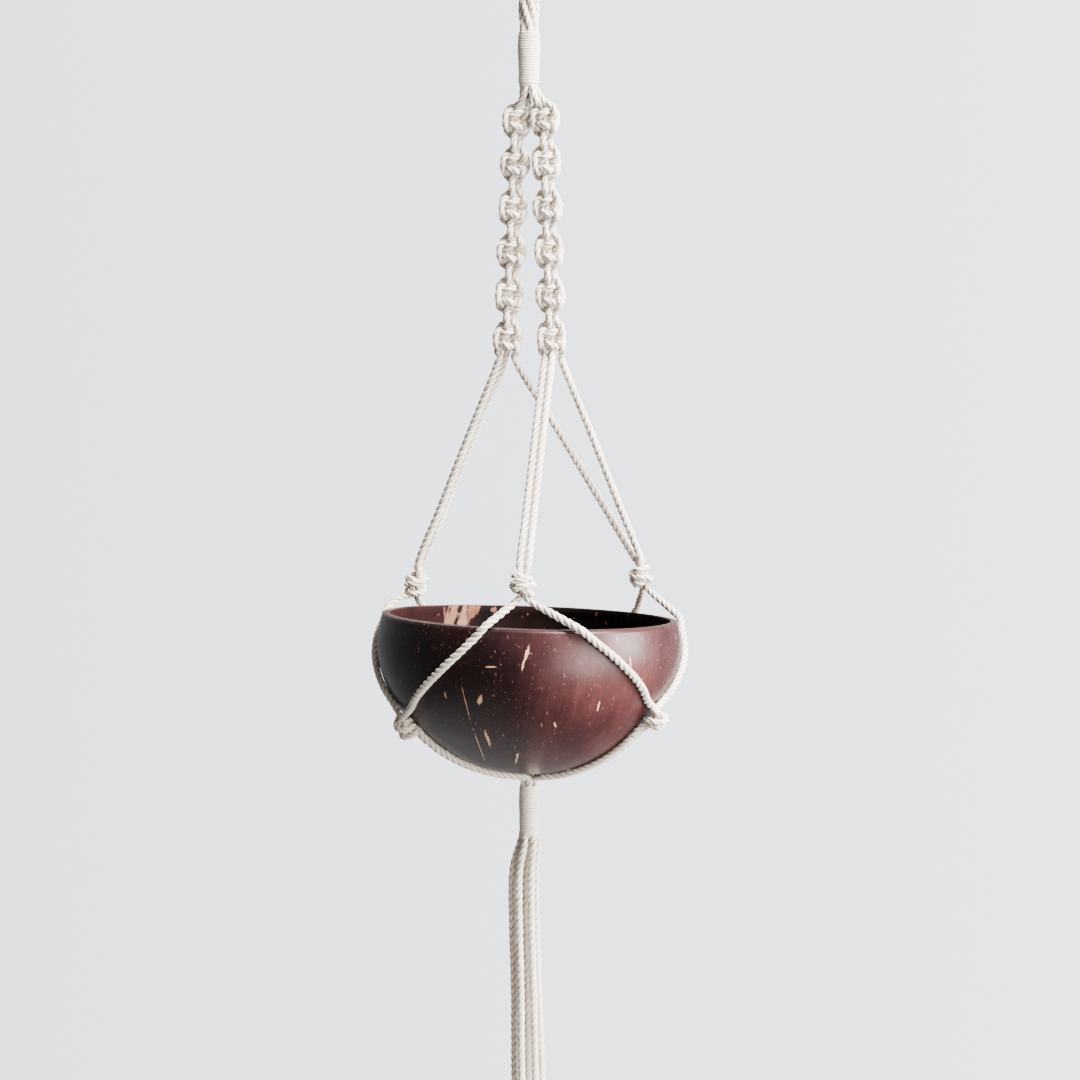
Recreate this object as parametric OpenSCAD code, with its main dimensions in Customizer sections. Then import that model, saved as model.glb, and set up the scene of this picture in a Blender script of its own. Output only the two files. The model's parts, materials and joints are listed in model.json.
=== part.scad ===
// Hanging macrame planter: three long twisted cotton cords are folded over at the top, bound with
// thread, knotted into two sinnets, spread into three legs that cradle a coconut-shell bowl, and
// gathered and bound again below it, where their six ends hang as a tassel.
// Millimetres, +Z up. The origin is the inside top of the hanging loop, where a hook carries it.

/* [Cord] */
// Diameter of the twisted cotton cord
cord_d = 3.5; // [3.2:0.1:3.6]

/* [Hanging loop] */
// Radius of the loop's round top, to the middle of the cord
loop_r = 11; // [10:0.5:12]
// How far each leg of the loop leans in towards the neck, in degrees
loop_lean = 16; // [14:1:18]

/* [Bowl] */
// Outside radius of the bowl at its widest
bowl_r = 68.2; // [66:0.1:69]
// Height of the rim above the widest level
rim_rise = 14; // [12:0.5:15]
// Depth of the bowl's bottom below the widest level
belly_drop = 56.3; // [54:0.1:57]
// Thickness of the shell
shell_wall = 3.6; // [3:0.1:4.5]
// Tilt of the bowl in its cradle, right side down, in degrees
bowl_tilt = 1.9; // [0:0.1:2.5]
// Height of the bowl's widest level
belly_z = -338.8; // [-340:0.2:-337]

/* [Knots] */
// Width of a knot in the two sinnets
sinnet_knot_d = 12.8; // [12.4:0.1:13.2]
// Height of a knot in the two sinnets
sinnet_knot_h = 13.4; // [12.6:0.2:14]
// Distance from one sinnet knot to the next
sinnet_pitch = 19.4; // [19:0.1:19.6]
// Height of the first sinnet knot's middle
first_knot_z = -104; // [-105:0.5:-103.5]
// Width and height of the knots above and below the bowl's side
cradle_knot_d = 11.4; // [11:0.1:12]
// Distance of the front knot above the rim from the bowl's axis
top_knot_r = 57.7; // [56.5:0.1:58.5]

/* [Thread bindings] */
// Outside diameter of the two thread bindings
wrap_d = 9.8; // [9.6:0.1:10.2]
// Length of each thread binding
wrap_h = 25; // [23:0.5:26]
// Top of the upper binding
upper_wrap_z = -64.2; // [-65:0.2:-63.6]

/* [Hidden] */
$fn = 48;
cord_sides = 8;
cord_r = cord_d / 2;
skin_gap = cord_r + 0.35;
loop_spacing = cord_d + 0.05;
loop_mid_z = cord_r - loop_r;

// The neck: six cords packed in a ring, in short rigid stretches with a gap where they bend
neck_cord_d = 3;
neck_ring_r = 3.1;
neck_top_z = -43.8;
neck_bottom_z = -51;
packed_cord_d = 2.8;
packed_ring_r = 2.9;
packed_top_z = -53.4;
packed_bottom_z = -89.8;
cord_end_bevel = 0.9;
loop_end_z = -41.4;

// The thread bindings
wrap_bore_r = packed_ring_r + packed_cord_d / 2 + 0.05;
wrap_bulge = 0.3;
wrap_bevel = 0.6;
lower_wrap_z = belly_z - belly_drop - 4.5;
lower_wrap_neck_r = 2.1;
lower_wrap_neck_h = 1.9;

// The sinnets: [x, y] of the middle at the first knot and of its drift from knot to knot
knot_count = 6;
sinnet_top_z = -90.4;
first_knot_top_z = first_knot_z + sinnet_knot_h / 2;
last_knot_z = first_knot_z - (knot_count - 1) * sinnet_pitch;
sinnet_end_z = last_knot_z + 1;
left_first = [-5.4, 2.1];
left_drift = [-0.85, 0.1];
right_first = [7, -2.1];
right_drift = [0.6, -0.1];
trio_r = 2.05;
knot_bore_r = trio_r + cord_r + 0.1;
bead_count = 4;
bead_depth = 1;
left_packed = [240, 180, 120];
right_packed = [0, 60, -60];
left_trio = [-40, 200, 80];
right_trio = [-40, 80, 200];

// The cradle: directions, in degrees round the bowl, of the three knots above the rim and the
// three below its widest level, their heights above the rim, and where the lower ones touch
top_dir = [-93.5, 26.7, 151.6];
top_rise = [18, 18.1, 11];
top_r = [top_knot_r, top_knot_r - 1.3, top_knot_r + 2.3];
low_dir = [-28.6, 86.2, 203.4];
low_touch = [-24, -28, -31.8];
skin_power = 1.78;
low_knot_gap = cradle_knot_d / 2 + 0.55;
pair_gap = 1.9;
rest_rings = [9, 3, -4, -11, -18, -24];
base_radii = [53, 47, 39, 31, 23, 15, 8.5, 3.4];
clear_of_knot = 5;
// The turn of each cord round the bowl, and how far the two front ones turn ahead of an even slant
front_right_turn = low_dir[0] - top_dir[0];
front_left_turn = low_dir[2] - 360 - top_dir[0];
right_front_turn = low_dir[0] - top_dir[1];
right_back_turn = low_dir[1] - top_dir[1];
left_back_turn = low_dir[1] - top_dir[2];
left_front_turn = low_dir[2] - top_dir[2];
front_right_bow = 0.03;
front_left_bow = -0.1;

// The tassel: routes of the six loose ends, as points from the binding down
tassel_gap = 1.8;
tassel_top_z = lower_wrap_z - wrap_h - tassel_gap;
strand_fall = [0, -13, -38, -68, -98, -133, -173];
left_route = [[-3.8, 0], [-7, -1], [-6.8, -1], [-6.6, -0.5], [-6.5, 0], [-6.2, 0], [-6, 0]];
front_left_route = [[-1.9, -3.3], [-3, -4], [-3, -4.2], [-2.8, -4], [-2.4, -4], [-2, -4], [-2.2, -4]];
front_right_route = [[1.9, -3.3], [1, -4], [0.9, -4.2], [1.2, -4], [1.6, -4], [2.2, -4], [2, -4]];
right_route = [[3.8, 0], [4.4, -0.4], [4.4, -0.6], [4.9, -0.4], [5.6, -0.2], [6.2, 0], [6, 0]];
back_right_route = [[1.9, 3.3], [2.2, 3.6], [2, 3.8], [2.2, 4], [2.4, 4], [2.2, 4], [2, 4]];
back_left_route = [[-1.9, 3.3], [-2.6, 3.6], [-2.8, 3.8], [-2.6, 4], [-2.4, 4], [-2.2, 4], [-2, 4]];

// ---- Vectors and routes

function unit(v) = v / norm(v);
function polar(r, direction) = [r * cos(direction), r * sin(direction)];
function total(lengths, last) = last < 0 ? 0 : lengths[last] + total(lengths, last - 1);

// The direction of a route at each of its points
function headings(route) = let (last = len(route) - 1)
    [for (i = [0:last]) unit(route[min(i + 1, last)] - route[max(i - 1, 0)])];

// A side direction for each ring, carried along the route so that the tube doesn't twist
function squared(v, heading) = unit(v - (v * heading) * heading);
function carried(headings, start, i = 0) = i == len(headings) ? [] :
    let (side = squared(start, headings[i])) concat([side], carried(headings, side, i + 1));

// A smooth route through hand-placed points, with one more point between each two
function midpoint(p, i) = let (last = len(p) - 1)
    (9 * (p[i] + p[i + 1]) - p[max(i - 1, 0)] - p[min(i + 2, last)]) / 16;
function smoothed(p) = [for (i = [0:2 * len(p) - 2]) i % 2 == 0 ? p[i / 2] : midpoint(p, (i - 1) / 2)];

// A cord along a route, as one closed tube
module tube_along(route, d, side) {
    ahead = headings(route);
    across = carried(ahead, side);
    n = cord_sides;
    rings = [for (i = [0:len(route) - 1]) for (k = [0:n - 1])
        let (a = (k + 0.5) * 360 / n)
        route[i] + d / 2 * (cos(a) * across[i] + sin(a) * cross(ahead[i], across[i]))];
    walls = [for (i = [0:len(route) - 2]) for (k = [0:n - 1])
        let (next = (k + 1) % n)
        [i * n + k, (i + 1) * n + k, (i + 1) * n + next, i * n + next]];
    start = [for (k = [0:n - 1]) k];
    end = [for (k = [n - 1:-1:0]) (len(route) - 1) * n + k];
    polyhedron(points = rings, faces = concat([start], walls, [end]), convexity = 6);
}

// A straight stretch of cord from one point to another
module cord_between(a, b, d = cord_d) {
    run = b - a;
    translate(a)
        rotate([0, acos(run[2] / norm(run)), atan2(run[1], run[0])])
            cylinder(h = norm(run), d = d);
}

// ---- The bowl's skin and places on it, in the bowl's own frame: z is 0 at its widest level

function skin_r(z) = z > 0
    ? bowl_r * sqrt(1 - pow(z / belly_drop, 2))
    : bowl_r * sqrt(1 - pow(-z / belly_drop, skin_power));
function skin_z(r) = -belly_drop * pow(1 - pow(r / bowl_r, 2), 1 / skin_power);
function off_slope(here, above, below, gap) = let (up = unit(above - below))
    here + gap * [up[1], -up[0]];
function off_skin(z, gap) = let (e = 0.2)
    off_slope([skin_r(z), z], [skin_r(z + e), z + e], [skin_r(z - e), z - e], gap);
function off_base(r, gap) = let (e = 0.2)
    off_slope([r, skin_z(r)], [r + e, skin_z(r + e)], [r - e, skin_z(r - e)], gap);

// From a place round the bowl, [r, z] and a direction, to the planter's frame
function placed(rz, direction) = let (c = cos(bowl_tilt), s = sin(bowl_tilt), p = polar(rz[0], direction))
    [p[0] * c + rz[1] * s, p[1], belly_z - p[0] * s + rz[1] * c];
function sideways(rz, direction, shift) = placed(rz, direction + asin(shift / rz[0]));

function top_knot_rz(i) = [top_r[i], rim_rise + top_rise[i]];
function low_knot_rz(i) = off_skin(low_touch[i], low_knot_gap);
function top_knot_at(i) = placed(top_knot_rz(i), top_dir[i]);
function low_knot_at(i) = placed(low_knot_rz(i), low_dir[i]);

// The middle of each cord that lies on the bowl, as [r, z] down its side
function side_line(i, j) = concat(
    [top_knot_rz(i) + [0.6, -4], [64.8, rim_rise + 5.2], [68.6, rim_rise + 0.7]],
    [for (z = rest_rings) if (z > low_touch[j] + clear_of_knot) off_skin(z, skin_gap)],
    [low_knot_rz(j) + [0.8, 3.5]]);
function base_line(j) = concat(
    [low_knot_rz(j) + [-2.4, -2.6]],
    [for (r = base_radii) if (r < skin_r(low_touch[j]) - clear_of_knot) off_base(r, skin_gap)]);

// ---- Hanging loop and neck

// One folded cord: a round top and two legs that lean in towards the neck
module loop_cord(y) {
    color("linen")
        translate([0, y, loop_mid_z]) rotate([90, 0, 0]) {
            rotate([0, 0, -loop_lean])
                rotate_extrude(angle = 180 + 2 * loop_lean) translate([loop_r, 0]) circle(d = cord_d);
            for (side = [0, 1]) mirror([side, 0, 0]) loop_leg();
        }
}

module loop_leg() {
    foot = (loop_end_z - loop_mid_z + loop_r * sin(loop_lean)) / cos(loop_lean);
    rotate([0, 0, -loop_lean]) translate([loop_r, 0, 0]) rotate([90, 0, 0])
        cylinder(h = -foot, d = cord_d);
}

// A ring of six short cords with bevelled ends
module cord_ring(top, bottom, d, ring_r) {
    bevel = cord_end_bevel;
    for (k = [0:5]) rotate([0, 0, 60 * k]) translate([ring_r, 0, bottom]) rotate_extrude()
        polygon([
            [0, 0], [d / 2 - bevel, 0], [d / 2, bevel],
            [d / 2, top - bottom - bevel], [d / 2 - bevel, top - bottom], [0, top - bottom]]);
}

module neck_cords() {
    color("linen") cord_ring(neck_top_z, neck_bottom_z, neck_cord_d, neck_ring_r);
}

module upper_bound_cords() {
    color("linen") cord_ring(packed_top_z, packed_bottom_z, packed_cord_d, packed_ring_r);
}

// ---- Thread bindings

// The outside of a thread binding, a little fuller near its top
module thread_binding() {
    r = wrap_d / 2;
    rotate_extrude() polygon([
        [0, 0], [r - wrap_bevel, 0], [r, -wrap_bevel],
        [r + wrap_bulge, -wrap_h * 0.2], [r + wrap_bulge, -wrap_h * 0.4], [r, -wrap_h * 0.65],
        [r, wrap_bevel - wrap_h], [r - wrap_bevel, -wrap_h], [0, -wrap_h]]);
}

module upper_wrap() {
    color("wheat") translate([0, 0, upper_wrap_z]) difference() {
        thread_binding();
        translate([0, 0, -wrap_h - 1]) cylinder(h = wrap_h + 2, r = wrap_bore_r);
    }
}

// Below the bowl the binding narrows to a short neck, where it swings
module lower_wrap() {
    color("wheat") translate([0, 0, lower_wrap_z]) difference() {
        thread_binding();
        translate([0, 0, -wrap_h - 1])
            cylinder(h = wrap_h - lower_wrap_neck_h, r = wrap_bore_r);
        rotate_extrude() polygon([
            [lower_wrap_neck_r, 1], [lower_wrap_neck_r, 0],
            [wrap_d / 2 - wrap_bevel, -lower_wrap_neck_h], [wrap_d, -lower_wrap_neck_h], [wrap_d, 1]]);
    }
}

module lower_bound_cords() {
    top = lower_wrap_z - lower_wrap_neck_h - 1.4;
    color("linen") cord_ring(top, lower_wrap_z - wrap_h, packed_cord_d, packed_ring_r);
}

// ---- Sinnets

function sinnet_at(first, drift, z) = let (steps = (first_knot_z - z) / sinnet_pitch)
    [first[0] + drift[0] * steps, first[1] + drift[1] * steps, z];

// Three cords from the binding's underside, through all six knots
module sinnet_cords(first, drift, packed_dirs, trio_dirs) {
    for (k = [0:2]) {
        apart = concat(polar(trio_r, trio_dirs[k]), 0);
        from = concat(polar(packed_ring_r + 0.5, packed_dirs[k]), sinnet_top_z);
        tube_along([
            from,
            from - [0, 0, 0.8],
            sinnet_at(first, drift, first_knot_top_z + 1) + apart,
            sinnet_at(first, drift, first_knot_top_z - 4) + apart,
            sinnet_at(first, drift, sinnet_end_z) + apart], cord_d, [1, 0, 0]);
    }
}

// A knot round the three cords, with a bead for each turn of cord
module sinnet_knot(first, drift, i) {
    pitch = sinnet_knot_h / bead_count;
    outer = sinnet_knot_d / 2;
    waist = outer - bead_depth;
    bumps = [for (k = [0:bead_count - 1]) for (a = [-60:30:60])
        [waist + bead_depth * cos(a), (k + 0.5) * pitch + sin(a) / sin(60) * pitch / 2]];
    color("antiquewhite")
        translate(sinnet_at(first, drift, first_knot_z - i * sinnet_pitch))
            rotate([atan(drift[1] / sinnet_pitch), -atan(drift[0] / sinnet_pitch), 0])
                translate([0, 0, -sinnet_knot_h / 2]) rotate_extrude()
                    polygon(concat([[knot_bore_r, 0]], bumps, [[knot_bore_r, sinnet_knot_h]]));
}

module left_sinnet_cords() {
    color("linen") sinnet_cords(left_first, left_drift, left_packed, left_trio);
}

module right_sinnet_cords() {
    color("linen") sinnet_cords(right_first, right_drift, right_packed, right_trio);
}

// ---- Legs

leg_top_z = sinnet_end_z - 1.6;
function foot_at(first, drift, direction) =
    sinnet_at(first, drift, leg_top_z) + concat(polar(trio_r, direction), 0);
function left_foot(k) = foot_at(left_first, left_drift, left_trio[k]);
function right_foot(k) = foot_at(right_first, right_drift, right_trio[k]);
function knot_top(i, shift) = let (d = top_dir[i] + 90)
    top_knot_at(i) + [shift * cos(d), shift * sin(d), 3.4];

module leg_cord(from, i, shift) {
    color("linen") cord_between(from, knot_top(i, shift));
}

// ---- Cradle

// A knot in two cords: a round ball of three turns
module cradle_knot(at) {
    r = cradle_knot_d / 2;
    end = r * 0.95;
    turns = [for (k = [-1:1]) for (a = [-60:20:60])
        let (across = k == 0 ? r : r * 0.82)
        [across - 1.2 + 1.2 * cos(a), r * 0.56 * k + r * 0.32 * sin(a)]];
    color("antiquewhite") translate(at) rotate_extrude()
        polygon(concat([[0, -end], [r * 0.5, -end]], turns, [[r * 0.5, end], [0, end]]));
}

// A cord from the knot above the rim, over the rim and down to the knot on the bowl's side; bow
// sets how far it turns ahead of an even slant
module cradle_cord(i, j, turn, bow = 0) {
    line = side_line(i, j);
    last = len(line) - 1;
    steps = [for (k = [0:last - 1]) norm(line[k + 1] - line[k])];
    whole = total(steps, last - 1);
    from = top_dir[i];
    to = from + turn;
    route = [for (k = [0:last])
        let (share = total(steps, k - 1) / whole, apart = sign(turn) * pair_gap * (1 - 2 * share))
        sideways(line[k], from + (to - from) * (share + bow * sin(180 * share)), apart)];
    color("linen") tube_along(route, cord_d, [0, 0, 1]);
}

// A cord from the knot on the bowl's side, under the bowl to the middle
module base_cord(j, shift) {
    route = [for (rz = base_line(j)) sideways(rz, low_dir[j], shift)];
    color("linen") tube_along(route, cord_d, concat(polar(1, low_dir[j] + 90), 0));
}

// ---- Bowl

module coconut_bowl() {
    steps = 22;
    low = -90;
    high = asin(rim_rise / belly_drop);
    angles = [for (k = [0:steps]) low + (high - low) * k / steps];
    outer = [for (a = angles) let (z = belly_drop * sin(a)) [max(skin_r(z), 0), z]];
    inner_share = 1 - shell_wall / bowl_r;
    inner = [for (k = [steps:-1:0])
        [outer[k][0] * inner_share, min(outer[k][1] * inner_share, rim_rise)]];
    lip = [outer[steps][0] - shell_wall / 2, rim_rise + 0.6];
    color("#3a1d14") translate([0, 0, belly_z]) rotate([0, bowl_tilt, 0])
        rotate_extrude($fn = 96) polygon(concat(outer, [lip], inner));
}

// ---- Tassel

// One loose end of cord, from the binding to its frayed tip
module tassel_strand(route) {
    points = [for (k = [0:len(route) - 1]) concat(route[k], tassel_top_z + strand_fall[k])];
    color("linen") tube_along(smoothed(points), cord_d, [1, 0, 0]);
}

// ---- The planter

loop_cord(-loop_spacing);  // loop_cord_front
loop_cord(0);  // loop_cord_middle
loop_cord(loop_spacing);  // loop_cord_back
neck_cords();
upper_bound_cords();
upper_wrap();
left_sinnet_cords();
right_sinnet_cords();
for (i = [1:knot_count]) {
    sinnet_knot(left_first, left_drift, i - 1);
    sinnet_knot(right_first, right_drift, i - 1);
}
leg_cord(right_foot(2), 0, -pair_gap);  // front_leg_left_cord
leg_cord(right_foot(0), 0, pair_gap);  // front_leg_right_cord
leg_cord(left_foot(1), 2, pair_gap);  // left_leg_outer_cord
leg_cord(left_foot(2), 2, -pair_gap);  // left_leg_inner_cord
leg_cord(left_foot(0), 1, pair_gap);  // right_leg_crossing_cord
leg_cord(right_foot(1), 1, -pair_gap);  // right_leg_outer_cord
cradle_knot(top_knot_at(0));  // front_top_knot
cradle_knot(top_knot_at(1));  // right_top_knot
cradle_knot(top_knot_at(2));  // left_top_knot
cradle_cord(0, 0, front_right_turn, front_right_bow);  // cradle_cord_front_right
cradle_cord(0, 2, front_left_turn, front_left_bow);  // cradle_cord_front_left
cradle_cord(1, 0, right_front_turn);  // cradle_cord_right_front
cradle_cord(1, 1, right_back_turn);  // cradle_cord_right_back
cradle_cord(2, 1, left_back_turn);  // cradle_cord_left_back
cradle_cord(2, 2, left_front_turn);  // cradle_cord_left_front
cradle_knot(low_knot_at(0));  // right_low_knot
cradle_knot(low_knot_at(1));  // back_low_knot
cradle_knot(low_knot_at(2));  // left_low_knot
base_cord(0, pair_gap);  // base_cord_right_1
base_cord(0, -pair_gap);  // base_cord_right_2
base_cord(1, pair_gap);  // base_cord_back_1
base_cord(1, -pair_gap);  // base_cord_back_2
base_cord(2, pair_gap);  // base_cord_left_1
base_cord(2, -pair_gap);  // base_cord_left_2
coconut_bowl();
lower_wrap();
lower_bound_cords();
tassel_strand(left_route);  // tassel_left
tassel_strand(front_left_route);  // tassel_front_left
tassel_strand(front_right_route);  // tassel_front_right
tassel_strand(right_route);  // tassel_right
tassel_strand(back_right_route);  // tassel_back_right
tassel_strand(back_left_route);  // tassel_back_left
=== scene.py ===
"""The looks of the hanging macrame planter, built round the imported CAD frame.

Lengths in this script are millimetres until a mesh is made, and MM turns them into metres.
"""

import json
import math

import bpy
import numpy as np
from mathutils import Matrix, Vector


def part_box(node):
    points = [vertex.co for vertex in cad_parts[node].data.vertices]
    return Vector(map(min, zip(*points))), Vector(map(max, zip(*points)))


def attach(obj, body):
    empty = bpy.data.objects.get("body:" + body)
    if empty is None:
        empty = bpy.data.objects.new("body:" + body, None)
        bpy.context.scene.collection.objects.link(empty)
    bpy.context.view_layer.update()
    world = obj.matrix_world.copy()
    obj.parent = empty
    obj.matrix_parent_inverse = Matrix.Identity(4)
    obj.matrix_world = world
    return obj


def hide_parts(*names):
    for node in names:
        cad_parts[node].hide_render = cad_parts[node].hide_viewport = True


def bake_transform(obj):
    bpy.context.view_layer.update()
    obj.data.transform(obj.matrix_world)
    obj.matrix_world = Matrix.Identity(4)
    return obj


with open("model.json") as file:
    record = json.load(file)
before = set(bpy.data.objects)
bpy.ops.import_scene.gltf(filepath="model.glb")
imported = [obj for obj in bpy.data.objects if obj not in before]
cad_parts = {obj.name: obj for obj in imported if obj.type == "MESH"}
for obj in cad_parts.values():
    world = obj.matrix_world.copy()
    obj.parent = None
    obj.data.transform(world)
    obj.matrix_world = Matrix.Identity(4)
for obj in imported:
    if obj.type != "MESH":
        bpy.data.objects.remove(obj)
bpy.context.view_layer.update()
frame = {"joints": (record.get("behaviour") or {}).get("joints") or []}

MM = 0.001

# ---- Driving sizes, as in the CAD

CORD_D = 3.5
CORD_R = CORD_D / 2
THREAD_D = 1.1
PLIES = 3
TWIST_PITCH = 10.0
RIM_RISE = 14.0
SHELL_WALL = 3.6
# The shell's belly is flatter than an ellipse below its widest level
SKIN_POWER = 1.78

# From the shell's skin to the middle of a cord pulled against it, to a flattened side of that cord, and
# from the middle between two cords side by side to the middle of each
SKIN_GAP = CORD_R - 0.32
PRESS_GAP = 0.09
PAIR_GAP = 1.9

# How finely the cords are meshed
RING_STEP = 0.7
RING_POINTS = 27
THREAD_POINTS = 10
UP = np.array([0.0, 0.0, 1.0])

# ---- Places, read from the frame


def middle(node):
    low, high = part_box(node)
    return np.array([(a + b) / 2 / MM for a, b in zip(low, high)])


def low_end(node):
    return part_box(node)[0][2] / MM


def high_end(node):
    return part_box(node)[1][2] / MM


def joint(name):
    return next(j for j in frame["joints"] if j["name"] == name)


def pivot(name):
    return np.array(joint(name)["pos_m"]) / MM


bowl_low, bowl_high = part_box("coconut_bowl")
BOWL_R = (bowl_high[1] - bowl_low[1]) / 2 / MM
BOWL_MIDDLE = pivot("bowl_turn")
BELLY_DROP = BOWL_MIDDLE[2] - bowl_low[2] / MM
tilt = math.atan2(joint("bowl_turn")["axis"][0], joint("bowl_turn")["axis"][2])
TILT_C, TILT_S = math.cos(tilt), math.sin(tilt)


def from_bowl(x, y, z):
    """From the bowl's own frame, where z is 0 at its widest level, to the part's frame."""
    return BOWL_MIDDLE + np.stack([x * TILT_C + z * TILT_S, y, -x * TILT_S + z * TILT_C], axis=-1)


def to_bowl(points):
    x, y, z = np.moveaxis(points - BOWL_MIDDLE, -1, 0)
    return x * TILT_C - z * TILT_S, y, x * TILT_S + z * TILT_C


# ---- Camera

SENSOR_WIDTH = 36.0
VIEW_WIDTH = 483.4
VIEW_HALF_ANGLE = math.radians(12.5)
AIM = np.array([4.9, 0.0, -290.3])
EYE_HEIGHT = -235.1


def add_camera():
    data = bpy.data.cameras.new("camera")
    data.sensor_width = SENSOR_WIDTH
    data.lens = SENSOR_WIDTH / 2 / math.tan(VIEW_HALF_ANGLE)
    camera = bpy.data.objects.new("camera", data)
    bpy.context.scene.collection.objects.link(camera)
    distance = VIEW_WIDTH / 2 / math.tan(VIEW_HALF_ANGLE)
    drop = EYE_HEIGHT - AIM[2]
    camera.location = [AIM[0] * MM, -math.sqrt(distance**2 - drop**2) * MM, EYE_HEIGHT * MM]
    camera.rotation_euler = [math.pi / 2 - math.asin(drop / distance), 0.0, 0.0]
    bpy.context.scene.camera = camera


add_camera()

# ---- Routes


def polar(r, degrees):
    a = math.radians(degrees)
    return np.array([r * math.cos(a), r * math.sin(a)])


def turned(point, degrees):
    c, s = math.cos(math.radians(degrees)), math.sin(math.radians(degrees))
    x, y, z = point
    return np.array([x * c - y * s, x * s + y * c, z])


def unit(v):
    return v / np.linalg.norm(v)


def ease(x):
    x = np.clip(x, 0, 1)
    return x * x * (3 - 2 * x)


def run_along(line):
    """How far along a line each of its points lies."""
    return np.concatenate([[0], np.cumsum(np.linalg.norm(np.diff(line, axis=0), axis=1))])


class Strand:
    """A cord's middle line, as control points with a radius and the node whose stretch starts there."""

    def __init__(self, phase=0.0):
        self.points = []
        self.radii = []
        self.labels = []
        self.phase = phase

    def add(self, point, label, radius=CORD_R):
        self.points.append(np.array(point, float))
        self.radii.append(radius)
        self.labels.append(label)

    def sampled(self, step=RING_STEP):
        """Evenly spaced points, radii and labels along a centripetal Catmull-Rom curve."""
        p = np.array(self.points)
        p = np.vstack([2 * p[0] - p[1], p, 2 * p[-1] - p[-2]])
        r = np.array([self.radii[0], *self.radii, self.radii[-1]])
        found, wide, owner = [], [], []
        for i in range(1, len(p) - 2):
            q = p[i - 1 : i + 3]
            chords = np.linalg.norm(np.diff(q, axis=0), axis=1)
            t = np.concatenate([[0], np.cumsum(np.sqrt(chords))])
            n = max(4, int(chords[1] / step * 3))
            u = np.linspace(t[1], t[2], n, endpoint=False)[:, None]
            a = [((t[k + 1] - u) * q[k] + (u - t[k]) * q[k + 1]) / (t[k + 1] - t[k]) for k in range(3)]
            b = [((t[k + 2] - u) * a[k] + (u - t[k]) * a[k + 1]) / (t[k + 2] - t[k]) for k in range(2)]
            found.append(((t[2] - u) * b[0] + (u - t[1]) * b[1]) / (t[2] - t[1]))
            share = ease((u[:, 0] - t[1]) / (t[2] - t[1]))
            wide.append(r[i] + (r[i + 1] - r[i]) * share)
            owner += [i - 1] * n
        line = np.vstack([*found, p[-2][None]])
        wide = np.concatenate([*wide, [r[-2]]])
        owner = np.array(owner + [len(self.points) - 2])
        s = run_along(line)
        even = np.linspace(0, s[-1], max(3, int(round(s[-1] / step)) + 1))
        at = np.clip(np.searchsorted(s, even), 0, len(s) - 1)
        line = np.stack([np.interp(even, s, line[:, k]) for k in range(3)], axis=1)
        return even, line, np.interp(even, s, wide), [self.labels[owner[k]] for k in at]


def frames_along(line):
    """The heading at each point, and two directions square to it, carried along without twist."""
    ahead = np.gradient(line, axis=0)
    ahead /= np.linalg.norm(ahead, axis=1)[:, None]
    side = np.zeros_like(ahead)
    last = np.array([1.0, 0, 0]) if abs(ahead[0][0]) < 0.8 else np.array([0, 1.0, 0])
    for i, t in enumerate(ahead):
        last = unit(last - last.dot(t) * t)
        side[i] = last
    return ahead, side, np.cross(ahead, side)


# ---- Meshes


def make_object(name, mesh, material):
    mesh.materials.append(material)
    obj = bpy.data.objects.new(name, mesh)
    bpy.context.scene.collection.objects.link(obj)
    return obj


def grid_faces(rows, columns, start=0):
    """Quads between rings of points, and a face over the first ring and the last."""
    index = start + np.arange(rows * columns).reshape(rows, columns)
    nxt = np.roll(index, -1, axis=1)
    quads = np.stack([index[:-1], nxt[:-1], nxt[1:], index[1:]], axis=-1).reshape(-1, 4)
    return quads.tolist() + [index[0][::-1].tolist(), index[-1].tolist()]


class TubeMesh:
    """Collects closed tubes, each a grid of rings, and turns them into one mesh."""

    def __init__(self):
        self.verts = []
        self.faces = []
        self.groove_shade = []
        self.uv = []
        self.count = 0

    def add(self, rings, groove_shade, u, v):
        """rings: n x k points; the painted shade in the grooves: n x k; u: n lengths; v: n x k turns round
        the cord.
        """
        n, k = rings.shape[:2]
        self.faces += grid_faces(n, k, self.count)
        near_u, far_u = np.repeat(u[:-1], k), np.repeat(u[1:], k)
        far = v + 1.0 / k
        along = np.stack([near_u, near_u, far_u, far_u], -1)
        around = np.stack([v[:-1], far[:-1], far[1:], v[1:]], -1).reshape(-1, 4)
        ends = np.vstack([np.full((k, 2), u[0]), np.full((k, 2), u[-1])])
        self.uv += [np.stack([along, around], -1).reshape(-1, 2), ends]
        self.verts.append(rings.reshape(-1, 3))
        self.groove_shade.append(groove_shade.ravel())
        self.count += n * k

    def build(self, name, material):
        mesh = bpy.data.meshes.new(name)
        mesh.from_pydata((np.vstack(self.verts) * MM).tolist(), [], self.faces)
        layer = mesh.uv_layers.new(name="along")
        layer.data.foreach_set("uv", np.vstack(self.uv).astype(np.float32).ravel())
        groove_shade = mesh.attributes.new("groove_shade", "FLOAT", "POINT")
        groove_shade.data.foreach_set("value", np.concatenate(self.groove_shade).astype(np.float32))
        mesh.polygons.foreach_set("use_smooth", [len(p.vertices) == 4 for p in mesh.polygons])
        mesh.update()
        return make_object(name, mesh, material)


def ring_angles(count):
    return np.arange(count) * 2 * math.pi / count


def rings_round(line, side, up, angle, radius):
    """Rings of points round a line, with a row of angle and radius for each of its points."""
    round_it = np.cos(angle)[..., None] * side[:, None] + np.sin(angle)[..., None] * up[:, None]
    return line[:, None] + radius[..., None] * round_it


# A ply's radius, how far its middle lies from the cord's, and where the notch between two of them ends,
# as shares of the cord's radius
PLY_R = 0.605
PLY_OFF = 1 - PLY_R
NOTCH_R = PLY_OFF / 2 + math.sqrt(PLY_R**2 - 0.75 * PLY_OFF**2)

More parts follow.
